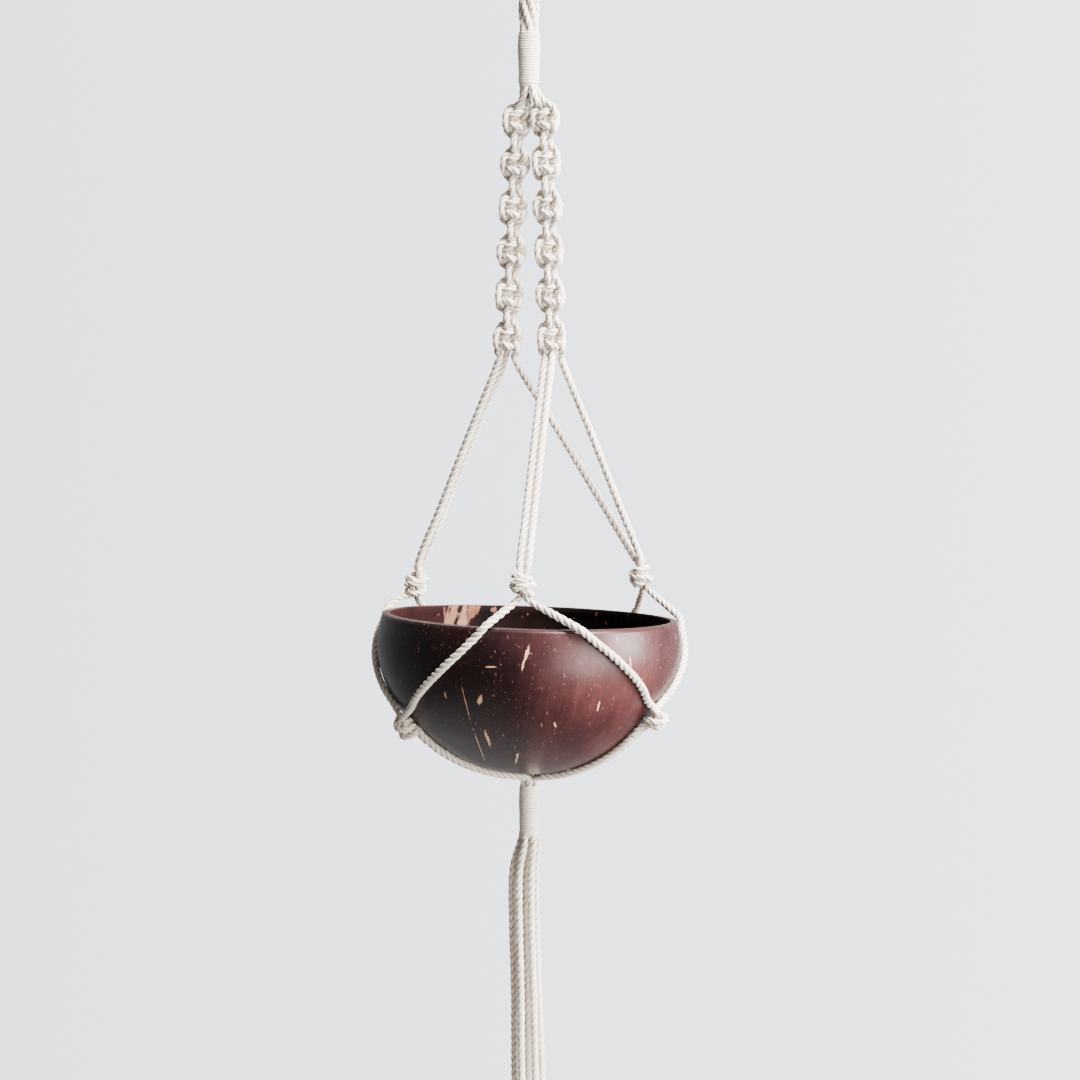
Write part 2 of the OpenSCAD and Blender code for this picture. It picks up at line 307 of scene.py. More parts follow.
# No cord is even: the lengths its twist and width wander over, and how much, and the fuzz of its plies
WANDER_LENGTHS = (23.0, 9.0, 4.1)
TWIST_WANDER = 0.10
WIDTH_WANDER = 0.012
PLY_WANDER = 0.02


def lobes(angle):
    """The outline of three plies side by side, as a share of the cord's radius."""
    third = 2 * math.pi / PLIES
    a = (angle + third / 2) % third - third / 2
    return PLY_OFF * np.cos(a) + np.sqrt(PLY_R**2 - (PLY_OFF * np.sin(a)) ** 2)


def pressed(points):
    """Points of a cord that would lie inside the bowl, moved out to its skin."""
    x, y, z = to_bowl(points)
    r = np.hypot(x, y)
    power = np.where(z > 0, 2.0, SKIN_POWER)
    depth = np.abs(z) / BELLY_DROP
    slope_r = 2 * r / BOWL_R**2
    slope_z = np.sign(z) * power * depth ** (power - 1) / BELLY_DROP
    steep = np.hypot(slope_r, slope_z)
    gap = ((r / BOWL_R) ** 2 + depth**power - 1) / steep
    move = np.where(z < RIM_RISE - 1, np.clip(PRESS_GAP - gap, 0, None), 0) / steep
    wider = 1 + slope_r * move / r
    return from_bowl(x * wider, y * wider, z + slope_z * move)


def twisted(tube, s, line, wide, phase, seed, frames=None, press=False):
    """Adds a three-ply right-hand twisted cord along line to tube."""
    _, side, up = frames or frames_along(line)
    turn = phase + 2 * math.pi * s / TWIST_PITCH
    rng = np.random.default_rng(seed)
    for wave in WANDER_LENGTHS:
        turn = turn + TWIST_WANDER * np.sin(2 * math.pi * s / wave + rng.uniform(0, 6.28))
        swell = np.sin(2 * math.pi * s / (wave * 0.8) + rng.uniform(0, 6.28))
        wide = wide * (1 + WIDTH_WANDER * swell)
    ring = ring_angles(RING_POINTS)
    shape = lobes(ring)
    around = ring[None] + turn[:, None]
    radius = shape[None] * wide[:, None]
    radius = radius * (1 + PLY_WANDER * np.sin(PLIES * around + s[:, None] * 1.9 + phase))
    rings = rings_round(line, side, up, around, radius)
    if press:
        rings = pressed(rings)
    # Painted shade: none on the crown of a ply, darkest in the notch between two plies
    groove_shade = np.broadcast_to((1 - shape) / (1 - NOTCH_R), radius.shape)
    tube.add(rings, groove_shade, s, around / (2 * math.pi))


def add_stretches(tubes, strand, seed):
    """Cuts a strand where its label changes, and adds each stretch to the tube mesh of its node."""
    s, line, wide, labels = strand.sampled()
    ways = frames_along(line)
    edges = [0] + [i for i in range(1, len(labels)) if labels[i] != labels[i - 1]] + [len(labels) - 1]
    for a, b in zip(edges, edges[1:]):
        tube = tubes.setdefault(labels[a], TubeMesh())
        part = slice(a, b + 1)
        frames = [way[part] for way in ways]
        on_bowl = labels[a].startswith(("cradle", "base"))
        twisted(tube, s[part], line[part], wide[part], strand.phase, seed, frames, on_bowl)


# ---- Materials


def new_material(name):
    material = bpy.data.materials.new(name)
    material.use_nodes = True
    tree = material.node_tree
    return material, tree, tree.nodes["Principled BSDF"]


def set_inputs(made, values):
    """Sets inputs of a node, with a link where the value is another node's output."""
    for key, value in values.items():
        if isinstance(value, bpy.types.NodeSocket):
            made.id_data.links.new(value, made.inputs[key])
        else:
            made.inputs[key].default_value = value


def node(tree, kind, **values):
    """A new node, with values for its settings and its inputs."""
    made = tree.nodes.new(kind)
    for key, value in values.items():
        if key in made.inputs:
            set_inputs(made, {key: value})
        else:
            setattr(made, key, value)
    return made


def ramp(tree, source, stops):
    made = node(tree, "ShaderNodeValToRGB", Fac=source)
    elements = made.color_ramp.elements
    while len(elements) < len(stops):
        elements.new(0.5)
    for element, (place, colour) in zip(elements, stops):
        element.position = place
        element.color = (*colour, 1)
    return made.outputs["Color"]


def mixed(tree, kind, share, a, b):
    made = node(tree, "ShaderNodeMix", data_type="RGBA", blend_type=kind)
    a, b = ((*colour, 1) if isinstance(colour, tuple) else colour for colour in (a, b))
    set_inputs(made, {"Factor": share, 6: a, 7: b})
    return made.outputs[2]


def scaled_noise(tree, source, stretch, scale, detail=3.0, roughness=0.6):
    mapping = node(tree, "ShaderNodeMapping", Scale=stretch, Vector=source)
    noise = node(tree, "ShaderNodeTexNoise", Scale=scale, Detail=detail, Roughness=roughness)
    set_inputs(noise, {"Vector": mapping.outputs["Vector"]})
    return noise.outputs["Fac"]


def summed(tree, a, b):
    made = node(tree, "ShaderNodeMath", operation="ADD")
    set_inputs(made, {0: a, 1: b})
    return made.outputs[0]


def risen(tree, source, low, high, **values):
    """Rises from 0 to 1 while source goes from low to high."""
    made = node(tree, "ShaderNodeMapRange", **values)
    set_inputs(made, {"Value": source, "From Min": low, "From Max": high})
    return made.outputs[0]


BLACK = (0.0, 0.0, 0.0)
WHITE = (1.0, 1.0, 1.0)
EVEN = (1.0, 1.0, 1.0)
FIBRE_SHADE = (0.72, 0.68, 0.62)
DUST_SHADE = (0.75, 0.68, 0.58)


def place_of(tree):
    return node(tree, "ShaderNodeTexCoord").outputs["Object"]


def grain_of(tree):
    return node(tree, "ShaderNodeAttribute", attribute_name="grain").outputs["Vector"]


def bumped(tree, shader, height, strength, distance):
    push = node(tree, "ShaderNodeBump", Strength=strength, Distance=distance, Height=height)
    set_inputs(shader, {"Normal": push.outputs["Normal"]})


def cotton_material(name, light, dark, groove_shade_colour, bump):
    """Fibres run along the plies, and the grooves between them are darkened with painted shade."""
    material, tree, shader = new_material(name)
    along = node(tree, "ShaderNodeUVMap", uv_map="along").outputs["UV"]
    place = place_of(tree)
    groove_shade = node(tree, "ShaderNodeAttribute", attribute_name="groove_shade").outputs["Fac"]
    fibres = scaled_noise(tree, along, (0.35, 14.0, 1.0), 3.0, 4.0, 0.7)
    patches = scaled_noise(tree, place, EVEN, 90.0, 3.0)
    specks = scaled_noise(tree, place, EVEN, 1500.0, 2.0)
    base = ramp(tree, patches, [(0.3, dark), (0.65, light)])
    streaks = ramp(tree, fibres, [(0.3, FIBRE_SHADE), (0.6, WHITE)])
    base = mixed(tree, "MULTIPLY", 0.75, base, streaks)
    dust = ramp(tree, specks, [(0.34, DUST_SHADE), (0.42, WHITE)])
    base = mixed(tree, "MULTIPLY", 0.5, base, dust)
    # Painted shade, mixed in where the groove value is high: the notches between plies and between turns of
    # thread
    depth = ramp(tree, groove_shade, [(0.35, BLACK), (1.0, WHITE)])
    base = mixed(tree, "MIX", depth, base, groove_shade_colour)
    bumped(tree, shader, summed(tree, fibres, specks), bump, 0.0004)
    set_inputs(shader, {"Base Color": base, "Roughness": 0.92, "Specular IOR Level": 0.2})
    set_inputs(shader, {"Sheen Weight": 0.25, "Sheen Roughness": 0.6})
    return material


# The light and the dark patches, and the painted shade in the grooves
CORD_COLOURS = ((0.97, 0.89, 0.78), (0.85, 0.71, 0.58), (0.41, 0.26, 0.17))
THREAD_COLOURS = ((0.95, 0.86, 0.75), (0.82, 0.70, 0.57), (0.38, 0.25, 0.17))
COTTON = cotton_material("cotton_cord", *CORD_COLOURS, 0.5)
THREAD = cotton_material("binding_thread", *THREAD_COLOURS, 0.4)

# ---- Where each cord runs

LOOP_NODES = ("loop_cord_front", "loop_cord_middle", "loop_cord_back")
SINNET_KNOTS = range(1, 7)
knot_middles = {side: [middle(f"{side}_knot_{i}") for i in SINNET_KNOTS] for side in ("left", "right")}

# A square knot and the two necks it ends in, before it is fitted to the knots' real spacing
NECK_X = 1.85
NECK_Z = 8.0
NECK_EASE_Z = 4.0
BARE_Z = 6.9
UPPER_STRETCH = 1.12
LOWER_STRETCH = 0.93

# A cord is squeezed in a knot, and the knots are pulled tighter still before their cords are drawn
KNOT_CORD_R = 1.56
NECK_CORD_R = 1.62
TIGHT_R = 1.43
SQUARE_PULL = (2.7, 300)
OVERHAND_PULL = (2.6, 260)

# How far each knot is turned about its sinnet
KNOT_TURNS = {"left": (-34, -46, -30, -42, -26, -38), "right": (-42, -28, -44, -32, -40, -30)}


def resampled(line, step):
    line = np.array(line, float)
    s = run_along(line)
    even = np.linspace(0, s[-1], max(4, int(round(s[-1] / step)) + 1))
    return np.stack([np.interp(even, s, line[:, k]) for k in range(3)], axis=1)


def tightened(lines, d, rounds, step=0.9, renew=60):
    """Pulls a knot of cords d thick tight: each is smoothed, then pushed off those it overlaps."""
    for count in range(rounds):
        if count % renew == 0:
            lines = [resampled(line, step) for line in lines]
            owner = np.concatenate([np.full(len(line), k) for k, line in enumerate(lines)])
            place = np.concatenate([np.arange(len(line)) for line in lines])
            near = (owner[:, None] == owner[None]) & (np.abs(place[:, None] - place[None]) * step < d * 1.5)
            edges = np.cumsum([0] + [len(line) for line in lines])
        for line in lines:
            line[2:-2] += 0.5 * ((line[1:-3] + line[3:-1]) / 2 - line[2:-2])
        p = np.concatenate(lines)
        for _ in range(2):
            gap = p[:, None] - p[None]
            far = np.linalg.norm(gap, axis=-1) + 1e-9
            push = np.where(near, 0, np.clip(d - far, 0, None)) * 0.3
            p = p + (gap / far[..., None] * push[..., None]).sum(1)
        for line, a, b in zip(lines, edges, edges[1:]):
            line[2:-2] = p[a + 2 : b - 2]
    return lines


def square_knot():
    """The three cords of one sinnet knot, each from its upper neck to its lower one."""
    half = [(-NECK_X, 0, NECK_Z), (-NECK_X, 0, 6.0), (-4.0, 0.6, 4.9), (-5.2, 0.2, 3.5), (-4.8, -2.0, 2.1)]
    half += [(-2.6, -3.4, 1.3), (0.6, -3.5, 1.8), (2.7, -2.6, 3.2), (3.1, 0.0, 3.9), (3.3, 2.8, 3.8)]
    half += [(3.7, 5.2, 2.5), (4.0, 5.9, 0)]
    a = half + [(x, y, -z) for x, y, z in half[-2::-1]]
    b = [(-x, -y, z) for x, y, z in a]
    core = [(0, 0, NECK_Z), (0, 0, -NECK_Z)]
    return dict(zip(("a", "b", "core"), tightened([a, b, core], *SQUARE_PULL)))


def overhand_knot():
    """Two cords tied together: down the middle, up round the outside and down the middle again."""
    lines = []
    for which in (0, 1):
        lift = -1.45 if which else 1.45
        stations = [(0, 2.0, 4.6), (60, 2.0, 1.6), (120, 2.0, -1.4), (165, 2.9, -4.4)]
        stations += [(195 + 330 * k / 8, 4.8, lift - 2.6 + 5.2 * k / 8) for k in range(9)]
        stations += [(555, 3.2, 5.4), (600, 2.0, 1.8), (660, 2.0, -1.2), (720, 2.0, -4.6)]
        round_it = [(*polar(r * 1.35, degrees + 90 * which), z * 1.25) for degrees, r, z in stations]
        x, y = polar(1.85, -45 + 180 * which)
        ends = [(x, y, z) for z in (11, 10, 7.5, -7.5, -10, -11)]
        lines.append(ends[:3] + round_it + ends[3:])
    return tightened(lines, *OVERHAND_PULL)


SQUARE = square_knot()
OVERHAND = overhand_knot()


def packed_point(slot, z, twist=0.0, ring=2.95):
    """Six cords side by side in a ring, as a binding holds them."""
    return np.array([*polar(ring, 60 * slot + twist), z])


# How the three cords lie in a neck, and at the foot of each sinnet, as [x, y] added there
NECK_SHIFT = {"a": (0.0, 0.9), "b": (0.0, 0.9), "core": (0.0, -1.5)}
FOOT_SHIFT = {
    "left": {"a": (-1.1, -0.7), "b": (1.5, -1.0), "core": (-0.6, 1.9)},
    "right": {"a": (-1.4, -0.3), "b": (2.1, 1.0), "core": (0.0, -1.6)},
}
# The necks of the first two knots lean towards each other, to meet under the binding
MEETING_X = 0.8
MEETING_SHARE = 0.42


def knot_frame(side):
    """Turns a knot's own x, y and z into the sinnet's, which leans a little."""
    up = unit(knot_middles[side][0] - knot_middles[side][-1])
    across = unit(np.array([1.0, 0, 0]) - up[0] * up)
    return np.stack([across, np.cross(up, across), up], axis=1)


def add_sinnet(strand, side, role):
    """The stretch of one cord from the binding through the six knots of its sinnet."""
    basis = knot_frame(side)
    turns = KNOT_TURNS[side]
    last = len(turns) - 1
    for i, centre in enumerate(knot_middles[side]):
        above = turns[i] if i == 0 else (turns[i] + turns[i - 1]) / 2
        below = 0 if i == last else (turns[i] + turns[i + 1]) / 2
        for x, y, z in SQUARE[role][::2]:
            slack = float(ease((abs(z) - NECK_EASE_Z) / (NECK_Z - NECK_EASE_Z)))
            z *= UPPER_STRETCH if z > 0 else LOWER_STRETCH
            shift = FOOT_SHIFT[side][role] if i == last and z < 0 else NECK_SHIFT[role]
            turn = turns[i] + ((above if z > 0 else below) - turns[i]) * slack
            local = turned((x + shift[0] * slack, y + shift[1] * slack, z), turn)
            bare = abs(z) > BARE_Z and not (i == last and z < 0)
            label = f"{side}_sinnet_cords" if bare else f"{side}_knot_{i + 1}"
            radius = KNOT_CORD_R + (NECK_CORD_R - KNOT_CORD_R) * slack
            if i == 0 and z > 0:
                local[0] += (MEETING_X - centre[0]) * MEETING_SHARE * slack
            strand.add(centre + basis @ local, label, radius)


def add_overhand(strand, centre, label, sign, direction, hand, up, reach, tuck=(0.0, 0.0)):
    """One cord of an overhand knot. Its ends lie on the side that sign and direction give.

    reach is the highest and the lowest point taken from the tied knot. tuck is how far in the knot sits,
    and how much further in its ends leave it, and a tucked knot is a little flatter.
    """
    outward = np.array([*polar(1, direction), 0.0])
    across = unit(np.cross(up, outward))
    basis = np.stack([unit(np.cross(across, up)), across, up], axis=1)
    line = OVERHAND[0 if sign > 0 else 1]
    spin = 90 + 45 * hand
    for x, y, z in line[::2]:
        if reach[1] < z < reach[0]:
            inward = tuck[0] + tuck[1] * float(ease((abs(z) - 2.2) / 3.0))
            local = turned((x, hand * y, z), spin)
            local[0] = local[0] * (0.86 if tuck[0] else 1.0) - inward
            strand.add(centre + basis @ local, label, TIGHT_R)


# ---- The bowl's skin, in the bowl's own frame: z is 0 at its widest level


def skin_r(z):
    z = np.asarray(z, float)
    above = np.sqrt(np.clip(1 - (z / BELLY_DROP) ** 2, 0, 1))
    below = np.sqrt(np.clip(1 - (np.clip(-z, 0, None) / BELLY_DROP) ** SKIN_POWER, 0, 1))
    return BOWL_R * np.where(z > 0, above, below)


def skin_z(r):
    return -BELLY_DROP * (1 - (r / BOWL_R) ** 2) ** (1 / SKIN_POWER)


def off_slope(here, above, below, gap):
    up = unit(np.array(above) - np.array(below))
    return np.array(here) + gap * np.array([up[1], -up[0]])


SLOPE_STEP = 0.2


def off_skin(z, gap):
    above, below = z + SLOPE_STEP, z - SLOPE_STEP
    return off_slope((skin_r(z), z), (skin_r(above), above), (skin_r(below), below), gap)


def off_base(r, gap):
    out, in_ = r + SLOPE_STEP, r - SLOPE_STEP
    return off_slope((r, skin_z(r)), (out, skin_z(out)), (in_, skin_z(in_)), gap)


def placed(rz, degrees):
    """From [r, z] and a direction round the bowl to the part's frame."""
    return from_bowl(*polar(rz[0], degrees), rz[1])


def found_round(point):
    """The reverse of placed: ([r, z], degrees)."""
    x, y, z = to_bowl(point)
    return np.array([math.hypot(x, y), z]), math.degrees(math.atan2(y, x))


# Where control points lie down the bowl's side and under it, and how near to a knot they may come
REST_LEVELS = (9, 3, -4, -11, -18, -24)
BASE_RADII = (53, 47, 39, 31, 23, 15, 9.0)
CLEAR_OF_KNOT = 4.6
# The six base cords wring round each other as they turn down into the binding
ENTRY_TURN = 36.0
# How far ahead of an even slant a cord turns round the bowl
BOWS = {"front_left": -0.1, "front_right": 0.03}


def add_cradle(strand, top, low, way):
    """From the knot above the rim, over the rim and down the bowl's side to the lower knot."""
    label = f"cradle_cord_{top}_{way}"
    top_rz, start = found_round(middle(f"{top}_top_knot"))
    low_rz, end = found_round(middle(f"{low}_low_knot"))
    turn = (end - start + 180) % 360 - 180
    line = [top_rz + [0.6, -4.0], [64.9, RIM_RISE + 5.0], [68.6, RIM_RISE + 0.7]]
    line += [off_skin(z, SKIN_GAP) for z in REST_LEVELS if z > low_rz[1] + CLEAR_OF_KNOT + 2]
    line = np.array(line + [low_rz + [0.8, 3.5]])
    steps = run_along(line)
    for rz, share in list(zip(line, steps / steps[-1]))[1:-1]:
        apart = math.copysign(PAIR_GAP, turn) * (1 - 2 * share)
        ahead = share + BOWS.get(f"{top}_{way}", 0) * math.sin(math.pi * share)
        degrees = start + turn * ahead + math.degrees(math.asin(apart / rz[0]))
        strand.add(placed(rz, degrees), label)


def add_base(strand, low, number, sign):
    """From the lower knot, under the bowl to its middle, and down into the lower binding."""
    label = f"base_cord_{low}_{number}"
    low_rz, direction = found_round(middle(f"{low}_low_knot"))
    for r in BASE_RADII:
        if r < low_rz[0] - CLEAR_OF_KNOT - 1:
            angle = direction + sign * math.degrees(math.asin(PAIR_GAP / r))
            strand.add(placed(off_base(r, SKIN_GAP), angle), label)
    top = high_end("lower_wrap")
    spot = direction + sign * 30 + ENTRY_TURN
    under = BOWL_MIDDLE[2] - BELLY_DROP - SKIN_GAP
    entry = [
        (4.3, direction + sign * 22 + ENTRY_TURN * 0.6, under - 0.1, 1.72),
        (3.0, spot - ENTRY_TURN * 0.1, under - 1.0, 1.66),
        (2.9, spot, top - 1.2, 1.45),
        (2.8, spot, top - 5.0, 1.4),
    ]
    for r, degrees, z, radius in entry:
        strand.add([*polar(r, degrees), z], label, radius)


# The six cords: sinnet, role in it, leg's node, knot above the rim, side of it, knot below, base cord
COURSES = [
    ("left", "a", "left_leg_outer_cord", "left", 1, "left", "front", 2),
    ("left", "core", "left_leg_inner_cord", "left", -1, "back", "back", 1),
    ("left", "b", "right_leg_crossing_cord", "right", 1, "back", "back", 2),
    ("right", "a", "front_leg_left_cord", "front", -1, "left", "left", 1),
    ("right", "core", "front_leg_right_cord", "front", 1, "right", "right", 2),
    ("right", "b", "right_leg_outer_cord", "right", -1, "right", "front", 1),
]
PACKED_SLOT = {
    ("left", "a"): 3,
    ("left", "core"): 4,
    ("left", "b"): 2,
    ("right", "a"): 1,
    ("right", "core"): 5,
    ("right", "b"): 0,
}
# Which way round each overhand knot is tied, and how much of it is taken and tucked in
TOP_HAND = {"left": 1, "front": 1, "right": -1}
LOW_HAND = {"left": -1, "right": 1, "back": 1}
TOP_REACH = (6.2, -5.2)
LOW_REACH = (5.2, -5.0)
LOW_TUCK = (1.6, 2.0)


def hanger_strand(course, number):
    side, role, leg, top, sign, low, way, base_number = course
    strand = Strand(phase=number * 1.1)
    wrap_end = low_end("upper_wrap")
    slot = PACKED_SLOT[(side, role)]
    strand.add(packed_point(slot, wrap_end + 2.6, ring=2.75), f"{side}_sinnet_cords", 1.4)
    strand.add(packed_point(slot, wrap_end - 0.4, ring=2.9), f"{side}_sinnet_cords", 1.5)
    add_sinnet(strand, side, role)
    foot = strand.points[-1]
    centre = middle(f"{top}_top_knot")
    _, direction = found_round(centre)
    leaning = unit(unit(knot_middles[side][-1] - centre) + UP)
    entry = centre + leaning * 8.6 + np.array([*polar(1.68 * sign, direction + 90), 0.0])
    strand.add(foot + (entry - foot) * 0.04 - UP * 1.0, leg)
    for share in (0.35, 0.7):
        strand.add(foot + (entry - foot) * share, leg)
    strand.add(entry, leg)
    name = f"{top}_top_knot"
    add_overhand(strand, centre, name, sign, direction, TOP_HAND[top], leaning, TOP_REACH)
    add_cradle(strand, top, low, way)
    centre = middle(f"{low}_low_knot")
    rz, direction = found_round(centre)
    slope = unit(off_skin(rz[1] + 6, SKIN_GAP) - off_skin(rz[1], SKIN_GAP))
    leaning = unit(placed(rz + slope, direction) - centre)
    sign = 1 if base_number == 1 else -1
    name = f"{low}_low_knot"
    add_overhand(strand, centre, name, sign, direction, LOW_HAND[low], leaning, LOW_REACH, LOW_TUCK)
    add_base(strand, low, base_number, sign)
    return strand


# ---- The cords of the tassel: free ends

# How far each strand hangs at its control points, and [x, y] there, from the strand's top down
TASSEL_FALL = (0, -13, -38, -68, -98, -133, -173)
TASSEL_ROUTES = {
    "tassel_left": ((-3.8, 0), (-7.3, -0.8), (-7.5, -0.8), (-6.7, -0.5), (-6.6, 0), (-6.3, 0), (-6, 0)),
    "tassel_front_left": (
        (-1.9, -3.3), (-4.3, -4), (-4.4, -4.2), (-3.7, -4), (-3.5, -4), (-2.9, -4), (-2.6, -4),
    ),
    "tassel_front_right": (
        (1.9, -3.3), (0.9, -3.8), (1, -4), (1.9, -4), (2.6, -4), (2.9, -4), (2.4, -4),
    ),
    "tassel_right": ((3.7, 0), (3.0, -0.2), (3.2, -0.4), (4.2, -0.3), (5.4, -0.2), (6.2, 0), (6, 0)),
    "tassel_back_right": ((2.5, 2.9), (2.0, 3.7), (2.1, 3.9), (2.8, 4), (2.9, 4), (2.4, 4), (2, 4)),
    "tassel_back_left": ((-0.9, 3.5), (-1.6, 3), (-1.5, 2.8), (-0.9, 3), (-0.9, 3.4), (-1.6, 3.8), (-2, 4)),
}
FRAY_LENGTH = 16.0
FRAY_SPREAD = 0.9
FRAY_THINNING = 0.45
FRAY_POINTS = 10


def ply_line(s, line, wide, phase, ply, spread):
    """The middle of one ply, which leaves the others by spread."""
    _, side, up = frames_along(line)
    a = phase + 2 * math.pi * s / TWIST_PITCH + ply * 2 * math.pi / PLIES
    reach = wide * PLY_OFF + spread
    return line + (np.cos(a) * reach)[:, None] * side + (np.sin(a) * reach)[:, None] * up


def add_fray(tube, s, line, wide, phase, seed):
    """The last stretch of a loose end, where its three plies come apart and thin out."""
    rng = np.random.default_rng(seed)
    ring = ring_angles(FRAY_POINTS)
    share = (s - s[0]) / (s[-1] - s[0])
    thin = wide * PLY_R * (1 - FRAY_THINNING * share**2)
    for ply in range(PLIES):
        spread = FRAY_SPREAD * share**1.5 * rng.uniform(0.5, 1.3)
        keep = len(s) - rng.integers(0, 5)
        own_line = ply_line(s, line, wide, phase, ply, spread)[:keep]
        _, side, up = frames_along(own_line)
        rings = rings_round(own_line, side, up, ring[None], thin[:keep, None])
        v = np.broadcast_to(ring / (2 * math.pi), (keep, FRAY_POINTS))
        # A frayed ply takes 0.15 of painted groove shade, which is below where the shade ramp starts
        tube.add(rings, np.full((keep, FRAY_POINTS), 0.15), s[:keep], v)


def tassel_strand(name, number):
    top = high_end(name)
    strand = Strand(phase=number * 0.9)
    x, y = TASSEL_ROUTES[name][0]
    strand.add((x * 0.78, y * 0.78, top + 5.0), name, 1.45)
    strand.add((x * 0.86, y * 0.86, top + 2.6), name, 1.5)
    for (x, y), fall in zip(TASSEL_ROUTES[name], TASSEL_FALL):
        strand.add((x, y, top + fall), name)
    s, line, wide, _ = strand.sampled()
    tube = TubeMesh()
    split = int(np.searchsorted(s, s[-1] - FRAY_LENGTH))
    # Frames and turns are counted from the top, so the frayed end carries the same twist on
    twisted(tube, s[: split + 1], line[: split + 1], wide[: split + 1], strand.phase, number)
    add_fray(tube, s[split - 1 :], line[split - 1 :], wide[split - 1 :], strand.phase, 50 + number)
    obj = tube.build(name + "_strand", COTTON)
    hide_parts(name)
    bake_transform(obj)


for number, name in enumerate(TASSEL_ROUTES):
    tassel_strand(name, number)

# ---- The six cords of the hanger

stretches = {}
for number, course in enumerate(COURSES):
    add_stretches(stretches, hanger_strand(course, number), 7 * number)

# The stretches that bend at a joint: its two bodies, its place, and how far above and below it they bend
BEND = {
    "sinnet_cords": ("upper_binding", "hanger", pivot("hanger_twist"), 0.5, -7.5),
    "base_cord": ("hanger", "lower_binding", pivot("tassel_swing"), 2.2, -3.0),
}
for label, tube in stretches.items():
    obj = tube.build(label + "_cords" if "knot" in label else label + "_twist", COTTON)
    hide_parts(label)
    kind = next((key for key in BEND if key in label), None)
    if kind:
        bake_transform(obj)
    else:
        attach(obj, "hanger")

# ---- Loop, neck and the bound cords

LOOP_R = 11.0
# How far the loop's round top reaches past level on each side, and the wring of the six cords below it
LOOP_LEAN = 16.0
LOOP_TURN = 100.0
# Where the legs of the front, middle and back cord stand in the ring of six, on the left and the right
LOOP_FEET = {-1: (4, 3, 2), 1: (5, 0, 1)}
EYE_FOOT_X = 3.2
EYE_FOOT_RISE = 3.0


def loop_leg(order, side):
    """Points of one leg of a folded cord, from the binding up to the loop's round top."""
    own = LOOP_NODES[order]
    slot = LOOP_FEET[side][order]
    bottom = high_end("upper_wrap")
    neck_low, neck_high = low_end("neck_cords"), high_end("neck_cords")
    eye_end = low_end("loop_cord_middle")
    lean = math.radians(LOOP_LEAN)
    top_mid = CORD_R - LOOP_R
    y = middle(own)[1]
    points = [
        (packed_point(slot, bottom - 3.0, LOOP_TURN, 2.8), "upper_bound_cords", 1.45),
        (packed_point(slot, bottom + 0.5, LOOP_TURN, 2.95), "upper_bound_cords", 1.5),
        (packed_point(slot, bottom + 7.0, LOOP_TURN * 0.66, 3.15), "upper_bound_cords", 1.62),
        (packed_point(slot, neck_low - 1.2, LOOP_TURN * 0.42, 3.2), "neck_cords", 1.62),
        (packed_point(slot, neck_high - 3.0, LOOP_TURN * 0.12, 3.3), own, 1.66),
        (packed_point(slot, eye_end + 1.0, 0.0, 3.5), own, CORD_R),
    ]
    foot_z = eye_end + EYE_FOOT_RISE
    for share in (0.35, 0.7):
        x = side * (EYE_FOOT_X + (LOOP_R * math.cos(lean) - EYE_FOOT_X) * share)
        z = foot_z + (top_mid - LOOP_R * math.sin(lean) - foot_z) * share
        points.append((np.array([x, y, z]), own, CORD_R))
    for degrees in (-LOOP_LEAN, 5, 26, 47, 68):
        x, z = polar(LOOP_R, degrees)
        points.append((np.array([side * x, y, top_mid + z]), own, CORD_R))
    return points


head = {}
for order in range(3):
    strand = Strand(phase=order * 2.0)
    up_leg = loop_leg(order, -1)
    down_leg = loop_leg(order, 1)[::-1]
    for point, label, radius in up_leg:
        strand.add(point, label, radius)
    strand.add((0, middle(LOOP_NODES[order])[1], CORD_R), LOOP_NODES[order])
    # On the way down a stretch belongs to the node of the point that it ends at
    names = [p[1] for p in down_leg[1:]] + [down_leg[-1][1]]
    for (point, _, radius), label in zip(down_leg, names):
        strand.add(point, label, radius)
    add_stretches(head, strand, 90 + order)

for label, tube in head.items():
    obj = tube.build(label + "_twist", COTTON)
    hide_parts(label)
    if label.startswith("loop_cord"):
        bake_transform(obj)
    elif label == "neck_cords":
        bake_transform(obj)
    else:
        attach(obj, "upper_binding")

lower_bound = TubeMesh()
wrap_top, wrap_end = high_end("lower_wrap"), low_end("lower_wrap")
for slot in range(6):
    strand = Strand(phase=slot)
    for z in (wrap_top - 4.0, wrap_end + 10, wrap_end + 0.6):
        strand.add(packed_point(slot, z, ring=2.85), "lower_bound_cords", 1.4)
    s, line, wide, _ = strand.sampled(1.4)
    twisted(lower_bound, s, line, wide, strand.phase, 120 + slot)
obj = lower_bound.build("lower_bound_twist", COTTON)
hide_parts("lower_bound_cords")
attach(obj, "lower_binding")

# ---- Thread bindings

POINTS_PER_TURN = 40
TURN_PITCH = THREAD_D * 1.02


